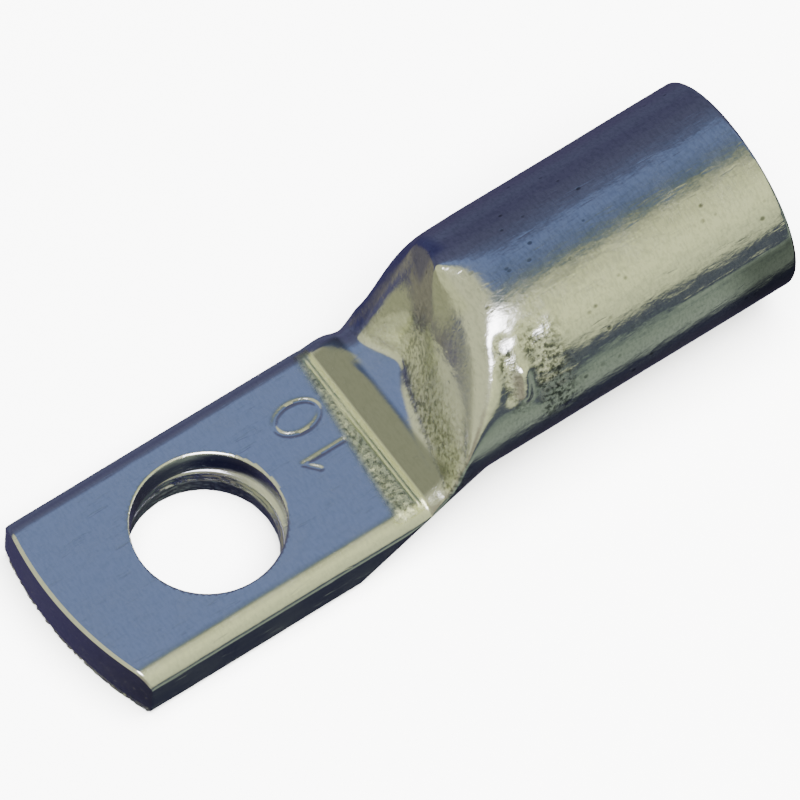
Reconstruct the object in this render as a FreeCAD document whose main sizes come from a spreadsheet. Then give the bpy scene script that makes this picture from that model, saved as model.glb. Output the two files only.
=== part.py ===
import FreeCAD, Part
import math
import os
import Sketcher

# Tubular cable lug: one length of tinned copper tube. One end stays round and takes the
# conductor, the other is pressed flat in a closed tool, sheared off and pierced for the stud.
# Frame: origin on the stud hole's axis in the palm's seating face, +X along the barrel to its
# mouth, +Z up out of the palm.

doc = FreeCAD.newDocument("cable_lug")

# Driving dimensions, in millimetres and degrees
drivingDimensions = [
    ("barrelDiameter", 15.6, "outside of the round tube, and width of the palm pressed from it"),
    ("barrelWall", 2.0, "thickness of the round tube's wall"),
    ("palmWall", 2.2, "the wall where it is pressed, which gathers it: the palm is two of these"),
    ("mouthDistance", 42.4, "stud hole's axis to the mouth of the barrel"),
    ("boreDepth", 19.4, "mouth of the barrel to where the round bore starts to close"),
    ("mouthRadius", 0.75, "outer edge of the mouth"),
    ("mouthChamfer", 0.5, "lead-in for the conductor"),
    ("palmTopRadius", 1.1, "upper long edges of the palm and of the shallow ramp"),
    ("palmBottomRadius", 0.7, "lower long edges of the palm"),
    ("endDistance", 11.8, "stud hole's axis to the furthest point of the sheared end"),
    ("endArcRadius", 26.0, "bow of the sheared end, seen from above"),
    ("endArcOffset", 1.9, "middle of that bow from the lug's middle line"),
    ("endRoll", 0.35, "rolled upper edge of the sheared end"),
    ("studHoleDiameter", 10.5, "clearance hole for the stud"),
    ("holeRoll", 0.2, "rolled upper edge of the pierced hole"),
    ("seamRoll", 0.35, "rolled edge of the lower wall, where the seam opens in the hole"),
    ("rampFootDistance", 12.7, "stud hole's axis to the foot of the ramp"),
    ("footRadius", 0.8, "bend at the foot of the ramp"),
    ("lowRampAngle", 16.0, "slope of the shallow part of the ramp"),
    ("scoopRadius", 1.0, "hollow between the shallow part and the steep part, inside the tube"),
    ("crestAngle", 20.0, "slope at which the shoulder runs out into the barrel"),
    ("nearRampLength", 0.8, "near side: run of the shallow part"),
    ("nearSteepAngle", 66.0, "near side: slope of the steep part"),
    ("nearCrestRadius", 7.0, "near side: shoulder between the steep part and the barrel"),
    ("middleRampLength", 3.5, "middle: run of the shallow part"),
    ("middleSteepAngle", 72.0, "middle: slope of the steep part"),
    ("middleCrestRadius", 2.5, "middle: shoulder between the steep part and the barrel"),
    ("beyondDistance", 3.2, "middle line to the view beyond it, where the ramp is steepest"),
    ("beyondRampLength", 4.5, "beyond the middle: run of the shallow part"),
    ("beyondSteepAngle", 80.0, "beyond the middle: slope of the steep part"),
    ("beyondCrestRadius", 1.5, "beyond the middle: shoulder between the steep part and the barrel"),
    ("farRampLength", 5.0, "far side: run of the shallow part"),
    ("farSteepAngle", 51.0, "far side: slope of the steep part"),
    ("farCrestRadius", 2.0, "far side: shoulder between the steep part and the barrel"),
    ("heelStart", 7.0, "stud hole's axis to where the underside starts to round"),
    ("heelEnd", 17.5, "stud hole's axis to where the underside is fully round"),
    ("pressLineWidth", 0.36, "mark left across the palm by the edge of the tool"),
    ("pressLineDepth", 0.14, "depth of such a mark"),
    ("pressLineSpacing", 0.6, "from one mark to the next, and from the last to the ramp"),
]
pressLineCount = 3
overrun = 2.0    # how far a cutting outline reaches past the metal
closeness = 0.001    # places nearer to each other than this are the same
tubeRadius = "Sizes.barrelDiameter / 2"
boreRadius = "(Sizes.barrelDiameter / 2 - Sizes.barrelWall)"
boreStart = "(Sizes.mouthDistance - Sizes.boreDepth)"
palmThickness = "2 * Sizes.palmWall"
footCorner = ("(Sizes.palmBottomRadius + (Sizes.barrelDiameter / 2 - Sizes.palmBottomRadius)"
              " * (Sizes.rampFootDistance - Sizes.heelStart) / (Sizes.heelEnd - Sizes.heelStart))")
heelWall = ("(Sizes.palmWall + (Sizes.barrelWall - Sizes.palmWall)"
            " * (Sizes.heelEnd - Sizes.rampFootDistance)"
            " / (Sizes.mouthDistance - Sizes.boreDepth - Sizes.rampFootDistance))")

sizes = doc.addObject("Spreadsheet::Sheet", "Sizes")
for row, (alias, number, meaning) in enumerate(drivingDimensions, start=1):
    sizes.set("A%d" % row, meaning)
    sizes.set("B%d" % row, str(number))
    sizes.setAlias("B%d" % row, alias)
doc.recompute()


def value(expression):
    result = sizes.evalExpression(expression)
    return float(getattr(result, "Value", result))


def originFeature(body, role):
    return next(item for item in body.Origin.OriginFeatures if item.Role == role)


def newSketch(body, name, plane, distance=None):
    sketch = body.newObject("Sketcher::SketchObject", name)
    sketch.AttachmentSupport = [(originFeature(body, plane), "")]
    sketch.MapMode = "FlatFace"
    if distance:
        sketch.setExpression(".AttachmentOffset.Base.z", distance)
    return sketch


def constrain(sketch, kind, *references):
    return sketch.addConstraint(Sketcher.Constraint(kind, *references))


def onVerticalAxis(sketch, index, vertex):
    constrain(sketch, "PointOnObject", index, vertex, -2)


def dimension(sketch, name, kind, references, expression):
    number = value(expression)
    if kind == "Angle":
        number = math.radians(number)
    index = sketch.addConstraint(Sketcher.Constraint(kind, *references, number))
    sketch.renameConstraint(index, name)
    sketch.setExpression("Constraints." + name, expression)


def outline(sketch, steps, smooth=()):
    """Closes a chain of edges. Each step is an edge's start and, for an arc, a point on it.
    Returns the number of each edge in the sketch. The joints numbered in smooth are tangent,
    the others only meet."""
    edges = []
    for number, (start, through) in enumerate(steps):
        end = steps[(number + 1) % len(steps)][0]
        first, last = FreeCAD.Vector(*start, 0), FreeCAD.Vector(*end, 0)
        if through is None:
            edges.append((sketch.addGeometry(Part.LineSegment(first, last), False), 1, 2))
            continue
        middle = FreeCAD.Vector(*through, 0)
        forward = (middle - first).cross(last - middle).z > 0
        arc = Part.Arc(first, middle, last) if forward else Part.Arc(last, middle, first)
        index = sketch.addGeometry(arc, False)
        edges.append((index, 1, 2) if forward else (index, 2, 1))
    for number, (index, start, end) in enumerate(edges):
        following = edges[(number + 1) % len(edges)]
        kind = "Tangent" if number in smooth else "Coincident"
        constrain(sketch, kind, index, end, following[0], following[1])
    return [index for index, start, end in edges]


def along(start, angle, length):
    return start[0] + length * math.cos(angle), start[1] + length * math.sin(angle)


def bulge(start, angleIn, angleOut, radius):
    """Middle and end of an arc that leaves start at angleIn and turns to angleOut."""
    side = 1 if angleOut > angleIn else -1
    centre = along(start, angleIn + side * math.pi / 2, radius)
    half, back = (angleIn + angleOut) / 2, -side * math.pi / 2
    return along(centre, half + back, radius), along(centre, angleOut + back, radius)


def addFeature(body, kind, name, settings, bound=()):
    """Adds a feature, and stops if it fails or doesn't change the solid the way it should."""
    before = body.Shape.Volume if body.Tip else 0.0
    feature = body.newObject("PartDesign::" + kind, name)
    for setting, content in settings.items():
        setattr(feature, setting, content)
    for setting, expression in bound:
        feature.setExpression(setting, expression)
    body.Tip = feature
    doc.recompute()
    if "Invalid" in feature.State or "Error" in feature.State or not feature.Shape.isValid():
        raise RuntimeError("%s fails: %s" % (name, feature.State))
    change = feature.Shape.Volume - before
    adds = kind in ("Pad", "AdditiveLoft")
    if (change if adds else -change) <= 0:
        raise RuntimeError("%s changes the volume by %.3f" % (name, change))
    return feature


originPoint = (-1, 1)


def archedSection(body, name, distance, radius, floor):
    """Section of the tube between the side walls of the tool: flat floor, upright sides and
    round top."""
    sketch = newSketch(body, name, "YZ_Plane", distance)
    half, low, middle = value(radius), value(floor), value(tubeRadius)
    base, right, top, left = outline(sketch, [
        ((-half, low), None),
        ((half, low), None),
        ((half, middle), (0, middle + half)),
        ((-half, middle), None),
    ], smooth=(1, 2))
    constrain(sketch, "Horizontal", base)
    constrain(sketch, "Vertical", right)
    constrain(sketch, "Vertical", left)
    onVerticalAxis(sketch, top, 3)
    dimension(sketch, "radius", "Radius", (top,), radius)
    dimension(sketch, "middle", "DistanceY", (*originPoint, top, 3), tubeRadius)
    dimension(sketch, "floor", "DistanceY", (*originPoint, base, 1), floor)
    return sketch


def cornerSection(body, name, distance, radius, floor, corner):
    """What is cut away beyond a rounded lower corner."""
    sketch = newSketch(body, name, "YZ_Plane", distance)
    half, low, size = value(radius), value(floor), value(corner)
    across, diagonal = half - size, size * math.sqrt(0.5)
    arc, inner, under, outer, level = outline(sketch, [
        ((half, low + size), (across + diagonal, low + size - diagonal)),
        ((across, low), None),
        ((across, low - overrun), None),
        ((half + overrun, low - overrun), None),
        ((half + overrun, low + size), None),
    ])
    for upright in (inner, outer):
        constrain(sketch, "Vertical", upright)
    for flat in (under, level):
        constrain(sketch, "Horizontal", flat)
    for radiusLine in (inner, level):
        constrain(sketch, "PointOnObject", arc, 3, radiusLine)
    dimension(sketch, "corner", "Radius", (arc,), corner)
    dimension(sketch, "side", "DistanceX", (*originPoint, level, 2), radius)
    dimension(sketch, "floor", "DistanceY", (*originPoint, inner, 1), floor)
    dimension(sketch, "sideReach", "DistanceX", (level, 2, level, 1), "%s mm" % overrun)
    dimension(sketch, "floorReach", "DistanceY", (inner, 2, inner, 1), "%s mm" % overrun)
    return sketch


def roundUnderside(body, prefix, stations):
    """Lower corners that grow from station to station until the section is a full round, and
    stay so to the mouth. Each station is a distance, a radius, a floor and a corner."""
    sections = [cornerSection(body, prefix + "Corner%d" % number, *station)
                for number, station in enumerate(stations, start=1)]
    heel = addFeature(body, "SubtractiveLoft", prefix + "Heel",
                      {"Profile": sections[0], "Sections": sections[1:], "Ruled": True})
    barrel = addFeature(body, "Pocket", prefix + "RoundSide",
                        {"Profile": sections[-1], "Type": "ThroughAll", "Reversed": True})
    return sections[0], [heel, barrel]


def mirror(body, name, originals):
    return addFeature(body, "Mirrored", name, {
        "Originals": originals,
        "MirrorPlane": (originFeature(body, "XZ_Plane"), [""]),
    })


def press(body, name, sketch):
    return addFeature(body, "Pocket", name, {"Profile": sketch, "Type": "ThroughAll",
                                             "Midplane": True})


# The upper tool's face, as side views from the near side of the lug to the far side. Each has the
# palm, a shallow and a steep ramp that meet at the knee, and a shoulder.
low, crest = [math.radians(value("Sizes." + name)) for name in ("lowRampAngle", "crestAngle")]
wall, thickness = value("Sizes.palmWall"), value(palmThickness)
ceiling = value("Sizes.barrelDiameter") + overrun
ceilingHeight = "Sizes.barrelDiameter + %s" % overrun
footX = value("Sizes.rampFootDistance")
clearX = -value("Sizes.endDistance") - 2 * overrun
angle = "Sizes.%s * 1 deg"
sideReach = tubeRadius + " + %s" % overrun
sideViews = [("near", sideReach), ("middle", None), ("beyond", "-Sizes.beyondDistance"),
             ("far", "-(%s)" % sideReach)]


def kneeOf(station):
    """Where the shallow and the steep ramp meet in a side view, the steep ramp's slope, and the
    expressions that place the knee."""
    run = "Sizes.%sRampLength" % station
    place = along((footX, thickness), low, value(run) / math.cos(low))
    return (place, math.radians(value("Sizes.%sSteepAngle" % station)),
            "Sizes.rampFootDistance + " + run,
            palmThickness + " + " + run + " * tan(Sizes.lowRampAngle * 1 deg)")


def addKnee(sketch, place, kneeX, kneeZ):
    point = sketch.addGeometry(Part.Point(FreeCAD.Vector(*place, 0)), True)
    dimension(sketch, "kneeX", "DistanceX", (*originPoint, point, 1), kneeX)
    dimension(sketch, "kneeZ", "DistanceY", (*originPoint, point, 1), kneeZ)
    return point


def innerView(body, station, distance):
    """The tool's face as the tube's inner wall takes it, one wall further down."""
    sketch = newSketch(body, "CorePress" + station.capitalize(), "XZ_Plane", distance)
    knee, steep, kneeX, kneeZ = kneeOf(station)
    innerRadius = value("Sizes.scoopRadius") + wall
    shift = wall / (1 + math.cos(steep - low))
    innerKnee = (knee[0] + shift * (math.sin(low) + math.sin(steep)),
                 knee[1] - shift * (math.cos(low) + math.cos(steep)))
    scoopStart = along(innerKnee, low, -innerRadius * math.tan((steep - low) / 2))
    scoopMiddle, scoopEnd = bulge(scoopStart, low, steep, innerRadius)
    rearX = footX - 2 * overrun
    lowStart = along(innerKnee, low, (rearX - innerKnee[0]) / math.cos(low))
    steepEnd = along(innerKnee, steep, (ceiling - innerKnee[1]) / math.sin(steep))
    back, lowRamp, scoop, steepRamp, lid = outline(sketch, [
        ((rearX, ceiling), None),
        (lowStart, None),
        (scoopStart, scoopMiddle),
        (scoopEnd, None),
        (steepEnd, None),
    ], smooth=(1, 2))
    point = addKnee(sketch, knee, kneeX, kneeZ)
    constrain(sketch, "Vertical", back)
    constrain(sketch, "Horizontal", lid)
    dimension(sketch, "back", "DistanceX", (*originPoint, back, 1),
              "Sizes.rampFootDistance - %s" % (2 * overrun))
    dimension(sketch, "lid", "DistanceY", (*originPoint, back, 1), ceilingHeight)
    dimension(sketch, "lowAngle", "Angle", (lowRamp,), angle % "lowRampAngle")
    dimension(sketch, "steepAngle", "Angle", (steepRamp,), angle % (station + "SteepAngle"))
    dimension(sketch, "scoopRadius", "Radius", (scoop,), "Sizes.scoopRadius + Sizes.palmWall")
    dimension(sketch, "lowWall", "Distance", (point, 1, lowRamp), "Sizes.palmWall")
    dimension(sketch, "steepWall", "Distance", (point, 1, steepRamp), "Sizes.palmWall")
    return sketch


def outerView(body, station, distance):
    """The tool's face as it shows on the lug: palm, ramps and shoulder."""
    sketch = newSketch(body, "Press" + station.capitalize(), "XZ_Plane", distance)
    knee, steep, kneeX, kneeZ = kneeOf(station)
    footRadius, crestRadius = value("Sizes.footRadius"), value("Sizes.%sCrestRadius" % station)
    footArcStart = (footX - footRadius * math.tan(low / 2), thickness)
    footArcMiddle, footArcEnd = bulge(footArcStart, 0, low, footRadius)
    crestZ = value("Sizes.barrelDiameter") - crestRadius * (math.cos(crest) - math.cos(steep))
    crestStart = along(knee, steep, (crestZ - knee[1]) / math.sin(steep))
    crestMiddle, crestEnd = bulge(crestStart, steep, crest, crestRadius)
    exitEnd = along(crestEnd, crest, overrun / math.sin(crest))
    back, palmLine, footArc, lowRamp, steepRamp, shoulder, exitLine, lid = outline(sketch, [
        ((clearX, ceiling), None),
        ((clearX, thickness), None),
        (footArcStart, footArcMiddle),
        (footArcEnd, None),
        (knee, None),
        (crestStart, crestMiddle),
        (crestEnd, None),
        (exitEnd, None),
    ], smooth=(1, 2, 4, 5))
    constrain(sketch, "Vertical", back)
    constrain(sketch, "Horizontal", palmLine)
    constrain(sketch, "Horizontal", lid)
    dimension(sketch, "back", "DistanceX", (back, 1, *originPoint),
              "Sizes.endDistance + %s" % (2 * overrun))
    dimension(sketch, "palm", "DistanceY", (*originPoint, palmLine, 1), palmThickness)
    dimension(sketch, "lid", "DistanceY", (*originPoint, back, 1), ceilingHeight)
    dimension(sketch, "footRadius", "Radius", (footArc,), "Sizes.footRadius")
    dimension(sketch, "lowAngle", "Angle", (lowRamp,), angle % "lowRampAngle")
    dimension(sketch, "kneeX", "DistanceX", (*originPoint, steepRamp, 1), kneeX)
    dimension(sketch, "kneeZ", "DistanceY", (*originPoint, steepRamp, 1), kneeZ)
    dimension(sketch, "steepAngle", "Angle", (steepRamp,), angle % (station + "SteepAngle"))
    dimension(sketch, "shoulderRadius", "Radius", (shoulder,), "Sizes.%sCrestRadius" % station)
    dimension(sketch, "shoulderTop", "DistanceY", (*originPoint, exitLine, 1),
              "Sizes.barrelDiameter")
    dimension(sketch, "exitAngle", "Angle", (exitLine,), angle % "crestAngle")
    return sketch


def pressBetween(body, name, view):
    """Presses the tube with the tool's face that runs through its side views."""
    views = [view(body, station, distance) for station, distance in sideViews]
    return addFeature(body, "SubtractiveLoft", name,
                      {"Profile": views[0], "Sections": views[1:], "Ruled": True})


# The hollow of the tube, as a body of its own: the bore, closing to nothing between the walls
core = doc.addObject("PartDesign::Body", "Hollow")
pressedRadius = "(Sizes.barrelDiameter / 2 - Sizes.palmWall)"
closing = archedSection(core, "CoreClosing", "Sizes.rampFootDistance", pressedRadius,
                        "Sizes.palmWall")
opening = archedSection(core, "CoreOpening", boreStart, boreRadius, "Sizes.barrelWall")
addFeature(core, "AdditiveLoft", "CoreTransition",
           {"Profile": closing, "Sections": [opening], "Ruled": True})
addFeature(core, "Pad", "CoreBore", {"Profile": opening},
           [("Length", "Sizes.boreDepth + %s" % overrun)])
pressBetween(core, "CorePress", innerView)
heelRadius = "(Sizes.barrelDiameter / 2 - %s)" % heelWall
coreCuts = roundUnderside(core, "Core", [
    ("Sizes.rampFootDistance", pressedRadius, "Sizes.palmWall", footCorner + " - Sizes.palmWall"),
    ("Sizes.heelEnd", heelRadius, heelWall, heelRadius),
    (boreStart, boreRadius, "Sizes.barrelWall", boreRadius),
])[1]
mirror(core, "CoreFarSide", coreCuts)

# The lug: the tube between the side walls of the tool, before its end is pressed
lug = doc.addObject("PartDesign::Body", "Lug")
lug.Label = "cable_lug"
tube = archedSection(lug, "TubeSection", "Sizes.mouthDistance", tubeRadius, "0 mm")
addFeature(lug, "Pad", "Tube", {"Profile": tube, "Reversed": True},
           [("Length", "Sizes.mouthDistance + Sizes.endDistance + %s" % overrun)])

# Upper side of the palm, the ramps and their shoulder, as the upper tool presses them
pressBetween(lug, "Press", outerView)

# Free end: sheared off across the palm in a slight bow
shear = newSketch(lug, "ShearProfile", "XY_Plane")
apexX, bow = -value("Sizes.endDistance"), value("Sizes.endArcRadius")
offset = value("Sizes.endArcOffset")
reach = value(tubeRadius) + overrun
bowCentre = (apexX + bow, offset)
nearX = bowCentre[0] - math.sqrt(bow ** 2 - (reach + offset) ** 2)
farX = bowCentre[0] - math.sqrt(bow ** 2 - (reach - offset) ** 2)
bowEdge, farSide, back, nearSide = outline(shear, [
    ((nearX, -reach), (apexX, offset)),
    ((farX, reach), None),
    ((clearX, reach), None),
    ((clearX, -reach), None),
])
constrain(shear, "Horizontal", farSide)
constrain(shear, "Vertical", back)
constrain(shear, "Horizontal", nearSide)
dimension(shear, "bow", "Radius", (bowEdge,), "Sizes.endArcRadius")
dimension(shear, "bowCentreX", "DistanceX", (*originPoint, bowEdge, 3),
          "Sizes.endArcRadius - Sizes.endDistance")
dimension(shear, "bowCentreY", "DistanceY", (*originPoint, bowEdge, 3), "Sizes.endArcOffset")
dimension(shear, "farReach", "DistanceY", (*originPoint, back, 1), tubeRadius + " + %s" % overrun)
dimension(shear, "nearReach", "DistanceY", (back, 2, *originPoint), tubeRadius + " + %s" % overrun)
dimension(shear, "back", "DistanceX", (back, 1, *originPoint),
          "Sizes.endDistance + %s" % (2 * overrun))
trimmed = addFeature(lug, "Pocket", "ShearedEnd", {"Profile": shear, "Type": "ThroughAll",
                                                   "Midplane": True})


def isPressed(face):
    """True on the faces that the pressing tool leaves: they look up, from the palm or above it,
    and aren't the tube's round top."""
    box = face.BoundBox
    first, last, low, high = face.ParameterRange
    round = isinstance(face.Surface, Part.Cylinder) and abs(face.Surface.Axis.x) > 0.999
    normal = face.normalAt((first + last) / 2, (low + high) / 2)
    return not round and box.ZMin > thickness - closeness and normal.z > 0.01


def edgeNames(shape, wanted):
    names = ["Edge%d" % number for number, edge in enumerate(shape.Edges, 1) if wanted(edge)]
    if not names:
        raise RuntimeError("no edge to round")
    return names


def middleTangent(edge):
    return edge.tangentAt((edge.FirstParameter + edge.LastParameter) / 2)


def onRim(edge):
    """Long edges of the palm and of the shallow ramp, up to the foot of the steep one."""
    steepest = math.sin(math.radians(2 * value("Sizes.lowRampAngle")))
    return (abs(edge.BoundBox.Center.y) > value(tubeRadius) - closeness
            and abs(middleTangent(edge).z) < steepest
            and any(edge.isSame(other) for other in pressedEdges))


def onShearedEdge(edge):
    box = edge.BoundBox
    return (box.XMax < -value("Sizes.studHoleDiameter") / 2 and box.YLength > box.XLength
            and box.ZMax > thickness - value("Sizes.palmTopRadius") - closeness
            and box.ZMin > value("Sizes.palmBottomRadius"))


pressedEdges = [edge for face in lug.Shape.Faces if isPressed(face) for edge in face.Edges]
rim = addFeature(lug, "Fillet", "PalmRim", {"Base": (trimmed, edgeNames(lug.Shape, onRim))},
                 [("Radius", "Sizes.palmTopRadius")])
endRoll = addFeature(lug, "Fillet", "EndRoll", {"Base": (rim, edgeNames(lug.Shape, onShearedEdge))},
                     [("Radius", "Sizes.endRoll")])
tubeStart, tubeCuts = roundUnderside(lug, "Tube", [
    ("Sizes.heelStart", tubeRadius, "0 mm", "Sizes.palmBottomRadius"),
    ("Sizes.heelEnd", tubeRadius, "0 mm", tubeRadius),
])
palmCorner = addFeature(lug, "Pocket", "PalmCorner", {"Profile": tubeStart, "Type": "ThroughAll"})
mirror(lug, "FarSide", tubeCuts + [palmCorner])
addFeature(lug, "Boolean", "Bore", {"Group": [core], "Type": "Cut"})

# Stud hole, pierced from above: its upper edge is rolled in, and so is the lower wall's, which
# the pierced upper wall has pressed against
pierced = newSketch(lug, "StudHoleProfile", "XZ_Plane")
holeRadius, seam = value("Sizes.studHoleDiameter") / 2, wall
holeRoll, seamRoll = value("Sizes.holeRoll"), value("Sizes.seamRoll")
slant = math.sqrt(0.5)
upperArcMiddle = (holeRadius + holeRoll * (1 - slant), thickness - holeRoll * (1 - slant))
seamArcMiddle = (holeRadius + seamRoll * (1 - slant), seam - seamRoll * (1 - slant))
under, lowerWall, seamArc, seamFace, upperWall, upperArc, rise, over, axis = outline(pierced, [
    ((0, -overrun), None),
    ((holeRadius, -overrun), None),
    ((holeRadius, seam - seamRoll), seamArcMiddle),
    ((holeRadius + seamRoll, seam), None),
    ((holeRadius, seam), None),
    ((holeRadius, thickness - holeRoll), upperArcMiddle),
    ((holeRadius + holeRoll, thickness), None),
    ((holeRadius + holeRoll, thickness + overrun), None),
    ((0, thickness + overrun), None),
])
for flat in (under, seamFace, over):
    constrain(pierced, "Horizontal", flat)
for upright in (lowerWall, upperWall, rise, axis):
    constrain(pierced, "Vertical", upright)
constrain(pierced, "Horizontal", lowerWall, 2, seamArc, 3)
constrain(pierced, "Vertical", seamFace, 1, seamArc, 3)
constrain(pierced, "Horizontal", upperWall, 2, upperArc, 3)
constrain(pierced, "Vertical", rise, 1, upperArc, 3)
onVerticalAxis(pierced, axis, 1)
constrain(pierced, "Vertical", lowerWall, 1, upperWall, 1)
dimension(pierced, "radius", "DistanceX", (under, 1, under, 2), "Sizes.studHoleDiameter / 2")
dimension(pierced, "under", "DistanceY", (under, 1, *originPoint), "%s mm" % overrun)
dimension(pierced, "seam", "DistanceY", (*originPoint, seamFace, 1), "Sizes.palmWall")
dimension(pierced, "seamRoll", "Radius", (seamArc,), "Sizes.seamRoll")
dimension(pierced, "palm", "DistanceY", (*originPoint, rise, 1), palmThickness)
dimension(pierced, "holeRoll", "Radius", (upperArc,), "Sizes.holeRoll")
dimension(pierced, "over", "DistanceY", (rise, 1, rise, 2), "%s mm" % overrun)
addFeature(lug, "Groove", "StudHole", {"Profile": pierced, "ReferenceAxis": (pierced, ["V_Axis"])},
           [("Angle", "360 deg")])

# Fine marks across the palm before the ramp, where the tool's edge bore on it
mark = newSketch(lug, "PressLineProfile", "XZ_Plane")
halfMark, depth = value("Sizes.pressLineWidth") / 2, value("Sizes.pressLineDepth")
markX = footX - value("Sizes.pressLineSpacing")
clearance = depth
fallEdge, riseEdge, forwardSide, roof, rearSide = outline(mark, [
    ((markX - halfMark, thickness), None),
    ((markX, thickness - depth), None),
    ((markX + halfMark, thickness), None),
    ((markX + halfMark, thickness + clearance), None),
    ((markX - halfMark, thickness + clearance), None),
])
constrain(mark, "Vertical", forwardSide)
constrain(mark, "Vertical", rearSide)
constrain(mark, "Horizontal", roof)
constrain(mark, "Equal", fallEdge, riseEdge)
constrain(mark, "Equal", forwardSide, rearSide)
dimension(mark, "bottomX", "DistanceX", (*originPoint, riseEdge, 1),
          "Sizes.rampFootDistance - Sizes.pressLineSpacing")
dimension(mark, "bottomZ", "DistanceY", (*originPoint, riseEdge, 1),
          palmThickness + " - Sizes.pressLineDepth")
dimension(mark, "palm", "DistanceY", (*originPoint, forwardSide, 1), palmThickness)
dimension(mark, "width", "DistanceX", (fallEdge, 1, riseEdge, 2), "Sizes.pressLineWidth")
dimension(mark, "roof", "DistanceY", (forwardSide, 1, forwardSide, 2), "Sizes.pressLineDepth")
line = press(lug, "PressLine", mark)
addFeature(lug, "LinearPattern", "PressLines", {
    "Originals": [line],
    "Direction": (originFeature(lug, "X_Axis"), [""]),
    "Reversed": True,
    "Occurrences": pressLineCount,
}, [("Length", "%s * Sizes.pressLineSpacing" % (pressLineCount - 1))])


# Mouth of the barrel, turned about the barrel's axis: rounded outside, chamfered inside
mouth = newSketch(lug, "MouthProfile", "XZ_Plane")
mouthX, axisZ = value("Sizes.mouthDistance"), value(tubeRadius)
rounding, lead = value("Sizes.mouthRadius"), value("Sizes.mouthChamfer")
rimZ, boreZ = 2 * axisZ, axisZ + value(boreRadius)
outerArc, level, front, top, rise = outline(mouth, [
    ((mouthX - rounding, rimZ), (mouthX - rounding * (1 - slant), rimZ - rounding * (1 - slant))),
    ((mouthX, rimZ - rounding), None),
    ((mouthX + overrun, rimZ - rounding), None),
    ((mouthX + overrun, rimZ + overrun), None),
    ((mouthX - rounding, rimZ + overrun), None),
])
cone, cover, innerFront, boreLine = outline(mouth, [
    ((mouthX - lead, boreZ), None),
    ((mouthX, boreZ + lead), None),
    ((mouthX + overrun, boreZ + lead), None),
    ((mouthX + overrun, boreZ), None),
])
barrelAxis = mouth.addGeometry(Part.LineSegment(FreeCAD.Vector(0, axisZ, 0),
                                                FreeCAD.Vector(mouthX, axisZ, 0)), True)
for flat in (level, top, cover, boreLine, barrelAxis):
    constrain(mouth, "Horizontal", flat)
for upright in (front, rise, innerFront):
    constrain(mouth, "Vertical", upright)
for radiusLine in (level, rise):
    constrain(mouth, "PointOnObject", outerArc, 3, radiusLine)
constrain(mouth, "Vertical", level, 1, cone, 2)
constrain(mouth, "Vertical", front, 1, innerFront, 1)
constrain(mouth, "Vertical", level, 1, barrelAxis, 2)
onVerticalAxis(mouth, barrelAxis, 1)
dimension(mouth, "length", "DistanceX", (barrelAxis, 1, barrelAxis, 2), "Sizes.mouthDistance")
dimension(mouth, "middle", "DistanceY", (*originPoint, barrelAxis, 1), tubeRadius)
dimension(mouth, "rim", "DistanceY", (barrelAxis, 2, outerArc, 2), tubeRadius)
dimension(mouth, "rounding", "Radius", (outerArc,), "Sizes.mouthRadius")
dimension(mouth, "bore", "DistanceY", (barrelAxis, 2, cone, 1), boreRadius)
dimension(mouth, "leadDepth", "DistanceX", (cone, 1, cone, 2), "Sizes.mouthChamfer")
dimension(mouth, "leadWidth", "DistanceY", (cone, 1, cone, 2), "Sizes.mouthChamfer")
dimension(mouth, "frontReach", "DistanceX", (level, 1, level, 2), "%s mm" % overrun)
dimension(mouth, "topReach", "DistanceY", (outerArc, 2, rise, 1), "%s mm" % overrun)
addFeature(lug, "Groove", "Mouth", {"Profile": mouth, "ReferenceAxis": (mouth, ["Axis0"])},
           [("Angle", "360 deg")])

for item in doc.Objects:
    if "Invalid" in item.State or "Error" in item.State:
        raise RuntimeError("%s: %s" % (item.Name, item.State))
    if item.TypeId == "Sketcher::SketchObject" and item.DoF:
        raise RuntimeError("%s is not fully constrained" % item.Name)
if not lug.Shape.isValid() or len(lug.Shape.Solids) != 1:
    raise RuntimeError("the lug isn't one valid solid")
os.makedirs("parts", exist_ok=True)
lug.Shape.exportStep("parts/cable_lug.step")
print("cable_lug", round(lug.Shape.Volume, 2), lug.Shape.optimalBoundingBox())
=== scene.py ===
import bmesh
import bpy
import math
import numpy as np
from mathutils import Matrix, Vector, noise


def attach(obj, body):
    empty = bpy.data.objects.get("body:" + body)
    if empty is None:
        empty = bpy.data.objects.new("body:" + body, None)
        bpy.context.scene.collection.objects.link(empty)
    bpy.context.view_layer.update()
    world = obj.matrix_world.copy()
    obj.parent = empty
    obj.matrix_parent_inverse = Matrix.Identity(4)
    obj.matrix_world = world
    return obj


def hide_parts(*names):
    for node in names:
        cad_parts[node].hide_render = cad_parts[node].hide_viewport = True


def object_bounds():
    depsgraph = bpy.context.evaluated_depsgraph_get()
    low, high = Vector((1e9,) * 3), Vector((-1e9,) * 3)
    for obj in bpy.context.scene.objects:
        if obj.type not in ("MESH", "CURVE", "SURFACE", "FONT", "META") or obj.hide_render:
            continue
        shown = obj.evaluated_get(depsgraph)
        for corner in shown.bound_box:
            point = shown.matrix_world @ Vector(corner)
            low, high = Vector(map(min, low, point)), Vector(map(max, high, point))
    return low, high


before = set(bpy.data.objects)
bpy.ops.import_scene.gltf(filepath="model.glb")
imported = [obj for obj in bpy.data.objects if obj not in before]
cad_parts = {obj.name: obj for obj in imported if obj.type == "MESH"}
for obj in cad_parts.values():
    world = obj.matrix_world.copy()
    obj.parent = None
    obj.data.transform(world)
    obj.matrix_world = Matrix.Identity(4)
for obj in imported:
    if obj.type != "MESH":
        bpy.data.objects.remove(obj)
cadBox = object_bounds()
millimetre = 0.001

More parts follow.
